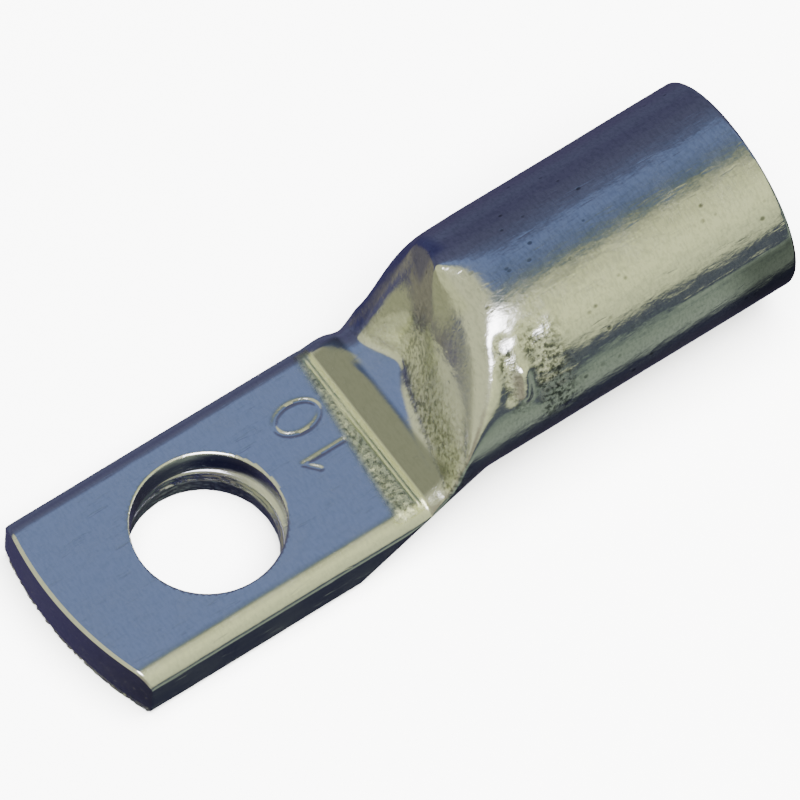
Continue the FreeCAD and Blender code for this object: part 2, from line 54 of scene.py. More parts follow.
photoView = {
    "azimuth": -34.67, "elevation": 61.33,
    "pixelsPerMillimetre": 15.09, "imageSide": 800,
    "originPixel": (207.9, 555.2),    # where the frame's origin shows in the photograph
    "focusDepth": -0.006,    # depth behind the origin at which the scale holds
    "lens": 800, "clip": (0.05, 10),
}


def photoCamera(view):
    azimuth, elevation = math.radians(view["azimuth"]), math.radians(view["elevation"])
    look = Vector((-math.sin(azimuth) * math.cos(elevation),
                   math.cos(azimuth) * math.cos(elevation), -math.sin(elevation)))
    right = Vector((math.cos(azimuth), math.sin(azimuth), 0))
    up = right.cross(look)
    side, scale = view["imageSide"], view["pixelsPerMillimetre"] / millimetre
    across = (side / 2 - view["originPixel"][0]) / scale
    above = (view["originPixel"][1] - side / 2) / scale
    data = bpy.data.cameras.new("photoCamera")
    data.lens = view["lens"]
    data.clip_start, data.clip_end = view["clip"]
    distance = side / scale * data.lens / data.sensor_width
    camera = bpy.data.objects.new("photoCamera", data)
    camera.rotation_mode = "QUATERNION"
    camera.rotation_quaternion = look.to_track_quat("-Z", "Y")
    camera.location = right * across + up * above + look * (view["focusDepth"] - distance)
    bpy.context.scene.collection.objects.link(camera)
    bpy.context.scene.camera = camera
    return camera


camera = photoCamera(photoView)
print("camera", [round(n, 3) for n in camera.location])


def newMaterial(name):
    material = bpy.data.materials.new(name)
    material.use_nodes = True
    return material, material.node_tree.nodes, material.node_tree.links


def addNode(nodes, kind, inputs=None, **settings):
    node = nodes.new("ShaderNode" + kind)
    for setting, content in settings.items():
        setattr(node, setting, content)
    for socket, content in (inputs or {}).items():
        node.inputs[socket].default_value = content
    return node


studio = {
    "floorSize": 1.2, "floorColour": (0.86, 0.86, 0.86), "floorRoughness": 0.9,
    "lightPower": 50.0, "lightSize": 0.7,
    "lightPlace": (0.1, -0.1, 0.6), "lightAim": (-0.085, 0.1, -0.6),
    "metalShare": 0.78,    # what the metal returns of the light, so the room is brighter by this
    # what the metal mirrors, by angle round the lug's length: 0 overhead, 90 near side,
    # -90 far side
    "round": (
        (-180, (0.0255, 0.0244, 0.0398)), (-150, (0.0545, 0.0476, 0.1033)),
        (-124, (0.0669, 0.0627, 0.1264)), (-100, (0.0786, 0.0844, 0.1523)),
        (-84, (0.0669, 0.0681, 0.1318)), (-60, (0.0831, 0.0887, 0.1523)),
        (-44, (0.0960, 0.1130, 0.1946)), (-28, (0.1560, 0.2120, 0.3840)),
        (-12, (0.1243, 0.1671, 0.2773)), (0, (0.1300, 0.1700, 0.1950)),
        (6, (0.2000, 0.2300, 0.1700)), (13, (0.3800, 0.4000, 0.2450)),
        (24, (0.5900, 0.6200, 0.3350)), (50, (0.7731, 0.8125, 0.4391)),
        (78, (0.5900, 0.6300, 0.3650)), (86, (0.3600, 0.3900, 0.2450)),
        (91, (0.0650, 0.0760, 0.0950)), (103, (0.0600, 0.0720, 0.0880)),
        (110, (0.1400, 0.1750, 0.1430)), (122, (0.2023, 0.2479, 0.1878)),
        (140, (0.2232, 0.2674, 0.2086)), (147, (0.0900, 0.1050, 0.1000)),
        (152, (0.0240, 0.0270, 0.0450)), (180, (0.0255, 0.0244, 0.0398))),
    # tinted cards off the lug's ends: direction, where the card's edge starts and ends, colour
    "cards": (
        ((-0.75, 0.0, 0.55), 0.57, 0.76, (0.5700, 0.5900, 0.3700)),
        ((-0.85, 0.15, -0.35), 0.86, 0.95, (0.2900, 0.3000, 0.1900)),
        ((-0.74, -0.62, 0.0), 0.82, 0.96, (0.3000, 0.2850, 0.2000)),
        ((-0.45, 0.66, -0.60), 0.94, 0.98, (0.1850, 0.1780, 0.1420)),
    ),
    "lamp": ((-0.27, -0.40, 0.88), 0.932, 0.982, (9.0, 8.8, 9.2)),    # small window over the lug
}


def makeFloor(look):
    mesh = bpy.data.meshes.new("floor")
    shape = bmesh.new()
    bmesh.ops.create_grid(shape, x_segments=1, y_segments=1, size=look["floorSize"])
    shape.to_mesh(mesh)
    shape.free()
    floor = bpy.data.objects.new("floor", mesh)
    bpy.context.scene.collection.objects.link(floor)
    material, nodes = newMaterial("paleFloor")[:2]
    paint = nodes["Principled BSDF"].inputs
    paint["Base Color"].default_value = (*look["floorColour"], 1)
    paint["Roughness"].default_value = look["floorRoughness"]
    paint["Specular IOR Level"].default_value = 0
    mesh.materials.append(material)
    floor.visible_glossy = False


def makeStudio(look):
    # the room that the metal mirrors: a soft band of colours round the lug, and cards off its ends
    world = bpy.data.worlds.new("studio")
    bpy.context.scene.world = world
    world.use_nodes = True
    nodes, links = world.node_tree.nodes, world.node_tree.links
    background = nodes["Background"]
    direction = addNode(nodes, "TexCoord").outputs["Generated"]
    split = addNode(nodes, "SeparateXYZ")
    links.new(direction, split.inputs[0])
    nearSide = addNode(nodes, "Math", {1: -1.0}, operation="MULTIPLY")
    links.new(split.outputs["Y"], nearSide.inputs[0])
    angle = addNode(nodes, "Math", operation="ARCTAN2")
    links.new(nearSide.outputs[0], angle.inputs[0])
    links.new(split.outputs["Z"], angle.inputs[1])
    turn = addNode(nodes, "MapRange", {1: -math.pi, 2: math.pi, 3: 0.0, 4: 1.0})
    links.new(angle.outputs[0], turn.inputs[0])
    ramp = addNode(nodes, "ValToRGB")
    ramp.color_ramp.interpolation = "EASE"
    stops = ramp.color_ramp.elements
    stops.remove(stops[1])
    for number, (degrees, colour) in enumerate(look["round"]):
        stop = stops[0] if number == 0 else stops.new((degrees + 180) / 360)
        stop.position = (degrees + 180) / 360
        stop.color = (*colour, 1)
    links.new(turn.outputs[0], ramp.inputs["Fac"])
    seen = ramp.outputs["Color"]
    for towards, start, end, colour in (*look["cards"], look["lamp"]):
        facing = addNode(nodes, "VectorMath", {1: Vector(towards).normalized()},
                         operation="DOT_PRODUCT")
        links.new(direction, facing.inputs[0])
        card = addNode(nodes, "MapRange", {1: start, 2: end, 3: 0.0, 4: 1.0},
                       interpolation_type="SMOOTHSTEP")
        links.new(facing.outputs["Value"], card.inputs[0])
        mix = addNode(nodes, "Mix", data_type="RGBA")
        mix.inputs[7].default_value = (*colour, 1)
        links.new(card.outputs[0], mix.inputs[0])
        links.new(seen, mix.inputs[6])
        seen = mix.outputs[2]
    links.new(seen, background.inputs["Color"])
    background.inputs["Strength"].default_value = 1 / look["metalShare"]
    # the floor's own soft light doesn't show in the metal
    lamp = bpy.data.lights.new("floorLight", "AREA")
    lamp.shape = "DISK"
    lamp.size = look["lightSize"]
    lamp.energy = look["lightPower"]
    light = bpy.data.objects.new("floorLight", lamp)
    light.location = look["lightPlace"]
    light.rotation_euler = Vector(look["lightAim"]).to_track_quat("-Z", "Y").to_euler()
    light.visible_glossy = False
    bpy.context.scene.collection.objects.link(light)


makeFloor(studio)
makeStudio(studio)
print("studio ready")


def smooth(value, start, end):
    t = np.clip((value - start) / (end - start), 0, 1)
    return t * t * (3 - 2 * t)


def within(value, start, full, last, end):
    # 1 from full to last, fading to 0 at start and at end
    return smooth(value, start, full) * (1 - smooth(value, last, end))


# the lug's own measures, in millimetres; a pair is where something starts to show and is full
lug = {
    "tubeRadius": 7.8, "barrelWall": 2.0, "palmWall": 2.2,
    "mouthX": 42.4, "mouthRoll": 0.4, "mouthChamfer": 0.5, "mouthSteps": 9,
    "chamferEdges": (0.03, 0.04),    # extra rings beside the chamfer keep its edges crisp
    "boreRings": (1.5, -3.0),    # first ring behind the mouth, and the step to the next
    "heelStart": 7.0, "heelEnd": 17.5, "palmCorner": 0.7,    # the underside, flat to round
    "nearRoll": (1.5, 1.05), "farRoll": (1.3, 0.75),    # how wide and deep the palm's edges roll
    "rollChange": (12.2, 15.0), "farRollGain": 0.5,    # on the ramp one roll ends, one deepens
    "around": 300,    # points round one ring
    # rings along the tube: first, last and the step between them
    "rings": ((-11.8, -11.3, 0.07), (-11.3, 7.0, 0.34), (7.0, 11.95, 0.12), (12.0, 12.93, 0.06),
              (12.96, 23.2, 0.12), (23.2, 42.0, 0.5)),
    "outlinePoints": (60, 80, 160),    # corner, flat, roof
    "insideBox": 0.002,    # least distance to the CAD's box
}

# the face of the tool that pressed the palm and the ramps, in millimetres and degrees
tool = {
    "footX": 12.7, "crestAngle": 20.0, "crestRun": 3,
    # side views: y, run of the low ramp, slope of the steep one, radius of the shoulder
    "sideViews": ((-9.8, 0.8, 66.0, 7.0), (-2.1, 2.9, 69.0, 5.0),
                  (0.0, 3.6, 69.0, 4.5), (2.5, 4.8, 76.0, 0.9), (5.4, 3.2, 58.0, 2.4),
                  (9.8, 3.1, 50.0, 3.0)),
    "stripRun": 2.0, "stripSlope": 25.0, "facetSlope": 4.0,    # the low ramp is two facets
    "viewPoints": (24, 14),    # on the low ramp, and on each part after it
    "gridY": (-7.9, 7.9, 317), "gridX": (12.0, 24.0, 0.04),
    "blend": (0.9, 0.22),    # how softly one side view passes into the next, near and far
    "blendChange": (0.2, 2.0), "blendMargin": 60,
    "ridgeY": 5.3, "flankFall": 0.55, "flankStart": (13.5, 16.0),    # the far wall's crest
    "ridgeWavers": ((0.22, 1.7, 3.1), (0.088, 5.0, 8.1)),    # height, how often, place in noise
    "ridgeSpan": (3.0, 4.5, 6.3, 7.2),
}


def sideView(run, slope, shoulder):
    # the tool's face at one y, as a line of x and z
    steep, crest = math.radians(slope), math.radians(tool["crestAngle"])
    foot, palm = tool["footX"], 2 * lug["palmWall"]
    strip, facet = (math.tan(math.radians(tool[name])) for name in ("stripSlope", "facetSlope"))
    lowPoints, points = tool["viewPoints"]
    far = np.linspace(0, run, lowPoints)
    low = np.stack([foot + far, palm + strip * np.minimum(far, tool["stripRun"])
                    + facet * np.maximum(far - tool["stripRun"], 0)], 1)
    knee = low[-1]
    top = 2 * lug["tubeRadius"] - shoulder * (math.cos(crest) - math.cos(steep))
    start = knee + np.array((1 / math.tan(steep), 1)) * (top - knee[1])
    turn = np.linspace(steep, crest, points)
    arc = start + shoulder * np.stack([math.sin(steep) - np.sin(turn),
                                       np.cos(turn) - math.cos(steep)], 1)
    end = arc[-1] + np.array((1 / math.tan(crest), 1)) * tool["crestRun"]
    return np.concatenate([low, np.linspace(knee, start, points), arc,
                           np.linspace(arc[-1], end, points)])


def makePressedGrid():
    # height of the tool's face over a grid in plan, each side view passing into the next
    across, along = np.linspace(*tool["gridY"]), np.arange(*tool["gridX"])
    places = [view[0] for view in tool["sideViews"]]
    views = np.array([sideView(*view[1:]) for view in tool["sideViews"]])
    sheet = np.empty((len(across), len(along)))
    for row, y in enumerate(across):
        line = [[np.interp(y, places, views[:, point, axis]) for axis in (0, 1)]
                for point in range(views.shape[1])]
        sheet[row] = np.interp(along, *np.array(line).T)
    sheet -= tool["flankFall"] * np.maximum(across - tool["ridgeY"], 0)[:, None] \
        * smooth(along, *tool["flankStart"])[None, :]
    margin = tool["blendMargin"]
    padded = np.concatenate([2 * sheet[0] - sheet[margin:0:-1], sheet,
                             2 * sheet[-1] - sheet[-2:-margin - 2:-1]])
    softened = []
    for blend in tool["blend"]:
        width = blend / (across[1] - across[0])
        weights = np.exp(-0.5 * (np.arange(-margin, margin + 1) / width) ** 2)
        total = sum(w * padded[k:k + len(sheet)] for k, w in enumerate(weights))
        softened.append(total / weights.sum())
    share = smooth(across, *tool["blendChange"])[:, None]
    return across, along, softened[0] * (1 - share) + softened[1] * share


pressedGrid = makePressedGrid()


def pressedHeight(x, y):
    # top of the metal that the closed tool left, over the points y at x
    across, along, sheet = pressedGrid
    place = np.clip((x - along[0]) / (along[1] - along[0]), 0, len(along) - 1.001)
    left = int(place)
    row = sheet[:, left] + (sheet[:, left + 1] - sheet[:, left]) * (place - left)
    late = smooth(x, *lug["rollChange"])
    (nearWide, nearDeep), (farWide, farDeep) = lug["nearRoll"], lug["farRoll"]
    wide = np.where(y < 0, nearWide, farWide)
    deep = np.where(y < 0, nearDeep * (1 - late), farDeep * (1 + lug["farRollGain"] * late))
    inset = np.clip((lug["tubeRadius"] - np.abs(y)) / wide, 0, 1)
    waver = sum(height * noise.noise(Vector((x * often, start, 0)))
                for height, often, start in tool["ridgeWavers"])
    place = y + waver * within(y, *tool["ridgeSpan"])
    return np.interp(place, across, row) - deep * (1 - inset) ** 2


def tubeOutline(radius, floorHeight, corner):
    # one closed turn of the tube before pressing, from its foot round by +y, as y, z
    cornerPoints, flatPoints, roofPoints = lug["outlinePoints"]
    middle, none = lug["tubeRadius"], np.zeros((0, 2))
    flat, upright = radius - corner, middle - floorHeight - corner
    arc = np.linspace(-math.pi / 2, 0, cornerPoints)
    low = np.stack([flat + corner * np.cos(arc), floorHeight + corner + corner * np.sin(arc)], 1)
    foot = np.stack([np.linspace(0, flat, flatPoints, endpoint=False),
                     np.full(flatPoints, floorHeight)], 1) if flat > 1e-6 else none
    side = np.stack([np.full(flatPoints, radius),
                     np.linspace(floorHeight + corner, middle, flatPoints + 2)[1:-1]], 1) \
        if upright > 1e-6 else none
    turn = np.linspace(0, math.pi / 2, roofPoints)
    roof = np.stack([radius * np.cos(turn), middle + radius * np.sin(turn)], 1)
    half = np.concatenate([foot, low, side, roof])
    other = half[::-1][1:-1] if half[0, 0] == 0 else half[::-1]
    return np.concatenate([half, other * (-1, 1)])


def spread(line, count):
    # the closed line again, as evenly spaced points
    loop = np.concatenate([line, line[:1]])
    run = np.concatenate([[0], np.cumsum(np.hypot(*np.diff(loop, axis=0).T))])
    at = np.linspace(0, run[-1], count, endpoint=False)
    return np.stack([np.interp(at, run, loop[:, 0]), np.interp(at, run, loop[:, 1])], 1), run[-1]


def rolled(line, length, reach):
    # each point moved to the middle of the stretch that lies within reach of it
    count = len(line)
    step = length / count
    long = np.concatenate([line, line, line])
    total = np.concatenate([[[0, 0]], np.cumsum((long + np.roll(long, -1, 0)) / 2, 0)])
    place = np.arange(count) + count
    ahead, behind = place + reach / step, place - reach / step
    index = np.arange(len(total))
    return np.stack([(np.interp(ahead, index, total[:, k]) - np.interp(behind, index, total[:, k]))
                     / (2 * reach / step) for k in (0, 1)], 1)


# how far the edges of a ring are rolled: on the palm, then on the ramp by place
rims = {
    "pressedTo": 22.5, "points": 900,
    "palm": 0.18, "ramp": 0.22, "near": 0.5, "nearHigh": 1.1, "flank": 0.6,
    "rampStart": (12.0, 14.5), "nearEnd": (-3.0, 0.0), "high": (8.5, 12.0),
    "flankStart": (6.2, 7.0),
    "above": (2.2, 2.6), "rampEnd": (21.0, 22.5),
}


def outerRing(x):
    radius = lug["tubeRadius"]
    widening = np.clip((lug["heelEnd"] - x) / (lug["heelEnd"] - lug["heelStart"]), 0, 1)
    corner = radius + (lug["palmCorner"] - radius) * widening
    line = tubeOutline(radius, 0.0, corner)
    if x < rims["pressedTo"]:
        line[:, 1] = np.minimum(line[:, 1], pressedHeight(x, line[:, 0]))
        line, length = spread(line, rims["points"])
        y, z = line.T
        late = smooth(x, *rims["rampStart"])
        near = 1 - smooth(y, *rims["nearEnd"])
        ramp = rims["ramp"] + near * (rims["near"] + rims["nearHigh"] * smooth(z, *rims["high"])) \
            + rims["flank"] * smooth(y, *rims["flankStart"])
        soft = rolled(line, length, rims["palm"] * (1 - late) + late * ramp)
        share = smooth(z, *rims["above"])[:, None] * (1 - smooth(x, *rims["rampEnd"]))
        line = line + (soft - line) * share
    return spread(line, lug["around"])[0]


hollow = {
    "start": 23.0, "end": 14.2, "step": -0.4,    # where the round bore ends and the seam begins
    "cornerX": 12.7, "corner": 0.4, "headroom": 0.02,
    "fan": (0, 0.3, 0.55, 0.75, 0.9, 0.97, 1),    # directions in which the wall's thickness is kept
    "apart": 0.02, "apartTo": 2.0,    # the lines that the roof pressed together stay a hair apart
}


def innerRing(x):
    radius, floorHeight = lug["tubeRadius"] - lug["barrelWall"], lug["barrelWall"]
    widening = np.clip((lug["heelEnd"] - x) / (lug["heelEnd"] - hollow["cornerX"]), 0, 1)
    corner = radius + (hollow["corner"] - radius) * widening
    line = tubeOutline(radius, floorHeight, corner)
    if x < hollow["start"]:
        wall = lug["palmWall"]
        roof = np.min([pressedHeight(x - wall * share, line[:, 0])
                       - wall * math.sqrt(1 - share ** 2) for share in hollow["fan"]], axis=0)
        pressed = np.minimum(line[:, 1], np.maximum(roof, floorHeight + hollow["headroom"]))
        line[:, 1] = pressed + hollow["apart"] * np.minimum(line[:, 1] - pressed, hollow["apartTo"])
    return spread(line, lug["around"])[0]


# the sheared end and the two ways round it
shear = {
    "endX": -11.8, "bow": 26.0, "bowMiddle": 1.9, "reach": 4.5,
    "faceShares": (1.0, 0.8, 0.6, 0.42, 0.28, 0.16, 0.08), "faceMiddle": 5.6,
    "roll": 0.15, "rollDepth": 0.17, "rollAbove": (2.6, 4.2),
    "lean": 0.10, "leanAbove": (0.9, 3.4), "leanReach": (0, 1.2),
    "tears": ((0.26, 0.42, 5), (0.16, 0.2, 6)),    # depth, size, seed
    "tearReach": (0, 0.5), "tearBelow": (0.15, 0.6),
}


def endBow(y):
    # x of the bowed end at y
    return shear["endX"] + shear["bow"] \
        - np.sqrt(shear["bow"] ** 2 - (y - shear["bowMiddle"]) ** 2)


def mouthProfile():
    # x and radius, over the mouth's outer edge, down its face and into the bore
    roll, chamfer, end = lug["mouthRoll"], lug["mouthChamfer"], lug["mouthX"]
    radius, inner = lug["tubeRadius"], lug["tubeRadius"] - lug["barrelWall"]
    (above, behind), (first, step) = lug["chamferEdges"], lug["boreRings"]
    profile = [(end - roll + roll * math.sin(a), radius - roll + roll * math.cos(a))
               for a in np.linspace(0, math.pi / 2, lug["mouthSteps"])]
    profile += [(end, inner + chamfer + above), (end, inner + chamfer),
                (end - chamfer, inner), (end - chamfer - behind, inner)]
    return profile + [(x, inner) for x in np.arange(end - first, hollow["start"], step)]


def lugRings():
    # the whole skin as rings of points: sheared face, outside, mouth, bore and hollow
    count = lug["around"]

    def ring(x, line):
        return np.column_stack([np.full(count, x), line])

    outer = np.concatenate([np.arange(*run) for run in lug["rings"]])
    first = outerRing(outer[0])
    middle = np.stack([np.clip(first[:, 0], -shear["faceMiddle"], shear["faceMiddle"]),
                       np.full(count, lug["palmWall"])], 1)
    partner = (count // 2 - np.arange(count)) % count
    middle[:, 0] = (middle[:, 0] + middle[partner, 0]) / 2
    rings = [ring(outer[0], first + (middle - first) * share) for share in shear["faceShares"]]
    face = len(rings)
    rings += [ring(x, outerRing(x)) for x in outer]
    skin = len(rings)
    angle = np.arange(count) / count * 2 * math.pi
    around = np.stack([np.sin(angle), -np.cos(angle)], 1)
    rings += [ring(x, around * r + (0, lug["tubeRadius"])) for x, r in mouthProfile()]
    rings += [ring(x, innerRing(x)) for x in np.arange(hollow["start"], hollow["end"],
                                                       hollow["step"])]
    last = rings[-1].copy()
    last[:, 1:] = (last[:, 1:] + last[partner, 1:]) / 2
    rings.append(last)
    return np.array(rings), face, skin


# rounding of the creases between palm, scoop and barrel, more at the shoulder than at the foot
softening = {
    "end": (23.0, 24.5), "nearEnd": (0.4, 2.6),
    "shoulderX": (15.5, 18.0), "shoulderZ": (6.5, 9.0), "shoulderTurns": 200,
    "flankY": (6.0, 6.6), "flankX": (15.5, 17.5), "flankZ": (5.0, 6.5), "flankShare": 0.5,
    "foot": (14.4, 15.0, 21.0, 22.5), "footTurns": 7,
    "sideways": 0.1,
}


def softenScoop(rings, face, skin):
    x, y, z = np.moveaxis(rings, -1, 0)
    soft = softening
    fade = 1 - smooth(x, *soft["end"])
    shoulder = (1 - smooth(y, *soft["nearEnd"])) * smooth(x, *soft["shoulderX"]) \
        * smooth(z, *soft["shoulderZ"]) * fade
    flank = smooth(y, *soft["flankY"]) * smooth(x, *soft["flankX"]) \
        * smooth(z, *soft["flankZ"]) * fade * soft["flankShare"]
    for turns, share in ((soft["footTurns"], within(x, *soft["foot"])),
                         (soft["shoulderTurns"], np.maximum(shoulder, flank))):
        share[:face + 1] = share[skin - 1:] = 0
        for turn in range(turns):
            along = rings.copy()
            along[1:-1] = rings[1:-1] / 2 + (rings[2:] + rings[:-2]) / 4
            beside = np.roll(along, 1, 1) + np.roll(along, -1, 1)
            turned = (1 - 2 * soft["sideways"]) * along + soft["sideways"] * beside
            rings = rings + (turned - rings) * share[..., None]
    return rings


def outward(rings, face):
    # direction out of the metal at each point of the grid of rings
    along = np.gradient(rings, axis=0)
    around = (np.roll(rings, -1, 1) - np.roll(rings, 1, 1)) / 2
    normal = np.cross(around, along)
    normal /= np.maximum(np.linalg.norm(normal, axis=-1, keepdims=True), 1e-9)
    # a point on top of the palm, a few rings behind the sheared face, looks up
    upwards = normal[face + 5, lug["around"] // 2, 2]
    return normal if upwards >= 0 else -normal


# what the pressing left on the metal, in millimetres
marks = {
    # height, width, then the line as x and degrees from the barrel's top to its near side
    "lines": ((0.28, 0.34, ((21.2, 54), (21.05, 60), (20.8, 66))),    # bump
              (-0.22, 0.42, ((20.7, 34), (20.1, 50), (19.8, 62))),    # crease before it
              (-0.16, 0.55, ((22.8, 38), (22.3, 55), (21.7, 70))),    # crease after it
              (-0.12, 1.5, ((20.9, 36), (20.3, 48))),    # dent in the shoulder
              (-0.10, 0.7, ((23.4, 52), (24.2, 62))),    # dent in the flank
              (0.05, 0.14, ((33.2, 66), (41.4, 66)))),    # scratch near the mouth
    "linesAbove": 5,
    "digitDepth": 0.10, "digitWidth": 0.11, "digitFacing": (0.6, 0.9), "digitAbove": 3.5,
    "digits": (((8.5, -0.85), (7.7, 0.1), (11.0, 0.1)),
               tuple((9.35 + 1.68 * math.cos(a), 3.25 + 1.12 * math.sin(a))
                     for a in np.linspace(0, 2 * math.pi, 25))),
    # grooves that the tool's edge pressed across the palm
    "grooves": (12.56, 12.26), "grooveDepth": 0.07, "grooveWidth": 0.085,
    "groovesTo": 13.3, "groovesAbove": 3.0, "groovesWithin": (6.2, 7.0),
    # rough strip of the palm between them and the digits, wider on the near side
    "bandY": (-7.8, 7.8), "bandStart": (9.9, 11.5), "bandFade": 0.9, "bandEnd": (12.75, 12.95),
    "bandAbove": (3.9, 4.2), "bandDepth": 0.05,
    "bandGrain": (0.03, 0.35, 2), "bandGrainEnd": (11.7, 11.9),    # height, size, seed
    "wobble": (0.022, 7.0, 1), "wobbleEnd": (41.0, 41.6),
    "mottle": (0.05, 0.55, 3),
    "seedSteps": (17.3, 5.1, 9.7),
}

# where the pressing wrinkled the tin
wrinkles = {
    # x, then degrees round the barrel: start, full, last and end
    "afterBump": ((21.3, 22.2, 23.4, 25.6), (24, 42, 80, 98)),
    "beforeBump": ((19.2, 20.2, 20.9, 21.5), (26, 38, 66, 80)),
    "bareBump": 0.5,
    "scoopFoot": (-0.6, 0.1, 0.7, 2.4), "scoopAbove": (4.6, 5.0),    # from the steep ramp's foot
    "scoopShare": 0.68, "scoopFarLoss": 0.48, "scoopFar": (1.8, 3.2),
    "fold": (12.6, 13.4, 15.2, 16.4), "foldNear": (6.4, 7.2), "foldAbove": (4.0, 5.0),
    "foldShare": 0.5,
    "bandEnd": (12.0, 12.15), "bandShare": 0.7,
}


def strokes(x, y, lines, width):
    # 1 on the lines, falling to 0 off them
    best = np.full(x.shape, 1e9)
    for line in lines:
        for (xa, ya), (xb, yb) in zip(line, line[1:]):
            dx, dy = xb - xa, yb - ya
            share = np.clip(((x - xa) * dx + (y - ya) * dy) / (dx * dx + dy * dy), 0, 1)
            best = np.minimum(best, (x - xa - share * dx) ** 2 + (y - ya - share * dy) ** 2)
    return np.exp(-best / (2 * width ** 2))


def ridge(x, turn, line, width):
    # the same for a line drawn on the barrel, as x and degrees round it
    degree = math.pi / 180 * lug["tubeRadius"]
    return strokes(x, turn * degree, [[(at, angle * degree) for at, angle in line]], width)


def turnRound(y, z):
    # degrees round the barrel, from its top to the near side
    return np.degrees(np.arctan2(-y, z - lug["tubeRadius"]))


def grain(points, height, size, seed):
    # soft random field, the same on every run
    offset = Vector([seed * step for step in marks["seedSteps"]])
    flat = points.reshape(-1, 3)
    values = np.fromiter((noise.noise(Vector(p) / size + offset) for p in flat), float, len(flat))
    return height * values.reshape(points.shape[:-1])


def pressedBand(x, y, z):
    start = np.interp(y, marks["bandY"], marks["bandStart"])
    return smooth(x, start, start + marks["bandFade"]) * (1 - smooth(x, *marks["bandEnd"])) \
        * smooth(z, *marks["bandAbove"])


def mottledArea(x, y, z):
    area, turn = wrinkles, turnRound(y, z)
    onBarrel = [within(x, *area[name][0]) * within(turn, *area[name][1])
                for name in ("afterBump", "beforeBump")]
    bare = 1 - ridge(x, turn, marks["lines"][0][2], area["bareBump"])
    foot = np.interp(y, [view[0] for view in tool["sideViews"]],
                     [tool["footX"] + view[1] for view in tool["sideViews"]])
    scoop = within(x - foot, *area["scoopFoot"]) * smooth(z, *area["scoopAbove"]) \
        * (area["scoopShare"] - area["scoopFarLoss"] * smooth(y, *area["scoopFar"]))
    fold = within(x, *area["fold"]) * smooth(-y, *area["foldNear"]) \
        * area["foldShare"] * smooth(z, *area["foldAbove"])
    band = pressedBand(x, y, z) * (1 - smooth(x, *area["bandEnd"])) * area["bandShare"]
    return np.maximum.reduce([onBarrel[0] * bare, onBarrel[1] * bare, scoop, fold, band])


def raisedMarks(rings, out):
    # how far each point is raised by the marks
    x, y, z = np.moveaxis(rings, -1, 0)
    turn, raised = turnRound(y, z), np.zeros(x.shape)
    for height, width, line in marks["lines"]:
        raised += height * ridge(x, turn, line, width) * (z > marks["linesAbove"])
    top = smooth(out[..., 2], *marks["digitFacing"]) * (z > marks["digitAbove"]) \
        * (x < tool["footX"])
    raised -= marks["digitDepth"] * strokes(x, y, marks["digits"], marks["digitWidth"]) * top
    onPalm = (z > marks["groovesAbove"]) * (x < marks["groovesTo"]) \
        * (1 - smooth(np.abs(y), *marks["groovesWithin"]))
    for at in marks["grooves"]:
        raised -= marks["grooveDepth"] * np.exp(-((x - at) / marks["grooveWidth"]) ** 2) * onPalm
    band = pressedBand(x, y, z)
    raised -= marks["bandDepth"] * band
    raised += band * (1 - smooth(x, *marks["bandGrainEnd"])) * grain(rings, *marks["bandGrain"])
    raised += grain(rings, *marks["wobble"]) * (1 - smooth(x, *marks["wobbleEnd"]))
    return raised + mottledArea(x, y, z) * grain(rings, *marks["mottle"])


def shearEnd(rings, skin):
    # bows the end, leans it towards its rolled upper edge and tears it below
    y, z = rings[..., 1], rings[..., 2]
    depth = rings[..., 0] - shear["endX"]
    near = 1 - smooth(rings[..., 0], shear["endX"], shear["endX"] + shear["reach"])
    near[skin:] = 0
    roll = np.clip(1 - depth / (2 * shear["roll"]), 0, 1) ** 2 * near
    rings[..., 2] -= shear["rollDepth"] * roll * smooth(z, *shear["rollAbove"])
    lean = shear["lean"] * smooth(z, *shear["leanAbove"]) \
        * (1 - smooth(depth, *shear["leanReach"]))
    torn = sum(grain(rings, *tear) for tear in shear["tears"]) \
        * (1 - smooth(depth, *shear["tearReach"])) * (1 - smooth(z, *shear["tearBelow"]))
    rings[..., 0] += near * (endBow(y) - shear["endX"]) + (lean + np.abs(torn)) * near
    return rings


def shapeMetal(rings, face, skin):
    rings = softenScoop(rings, face, skin)
    out = outward(rings, face)
    raised = raisedMarks(rings, out)
    raised[:face] = raised[skin - 1:] = 0
    rings = shearEnd(rings + out * raised[..., None], skin)
    low, high = (np.array(Vector(corner) / millimetre) for corner in cadBox)
    return np.clip(rings, low + lug["insideBox"], high - lug["insideBox"])


rings, faceCount, skinCount = lugRings()
rings = shapeMetal(rings, faceCount, skinCount)
print("rings", rings.shape)


# points nearer to each other than this become one, in metres, the punch's in millimetres
weld = {"skin": 1e-7, "collapsed": 1e-8, "punch": 1e-5, "pierced": 5e-7}


def addPiece(shape, name):
    # the shape as an object in the scene
    mesh = bpy.data.meshes.new(name)
    shape.to_mesh(mesh)
    shape.free()
    piece = bpy.data.objects.new(name, mesh)
    bpy.context.scene.collection.objects.link(piece)
    return piece


def wrapRings(rings, name):
    # a grid of faces, wrapped round into the lug's skin and closed where its two edges meet
    rows, count = rings.shape[:2]
    shape = bmesh.new()
    bmesh.ops.create_grid(shape, x_segments=rows - 1, y_segments=count, size=1)
    for vert in shape.verts:
        row = round((vert.co.x + 1) / 2 * (rows - 1))
        column = round((vert.co.y + 1) / 2 * count) % count
        vert.co = Vector(rings[row, column]) * millimetre
    bmesh.ops.remove_doubles(shape, verts=shape.verts, dist=weld["skin"])
    bmesh.ops.dissolve_degenerate(shape, edges=shape.edges, dist=weld["collapsed"])
    bmesh.ops.recalc_face_normals(shape, faces=shape.faces)
    return addPiece(shape, name)


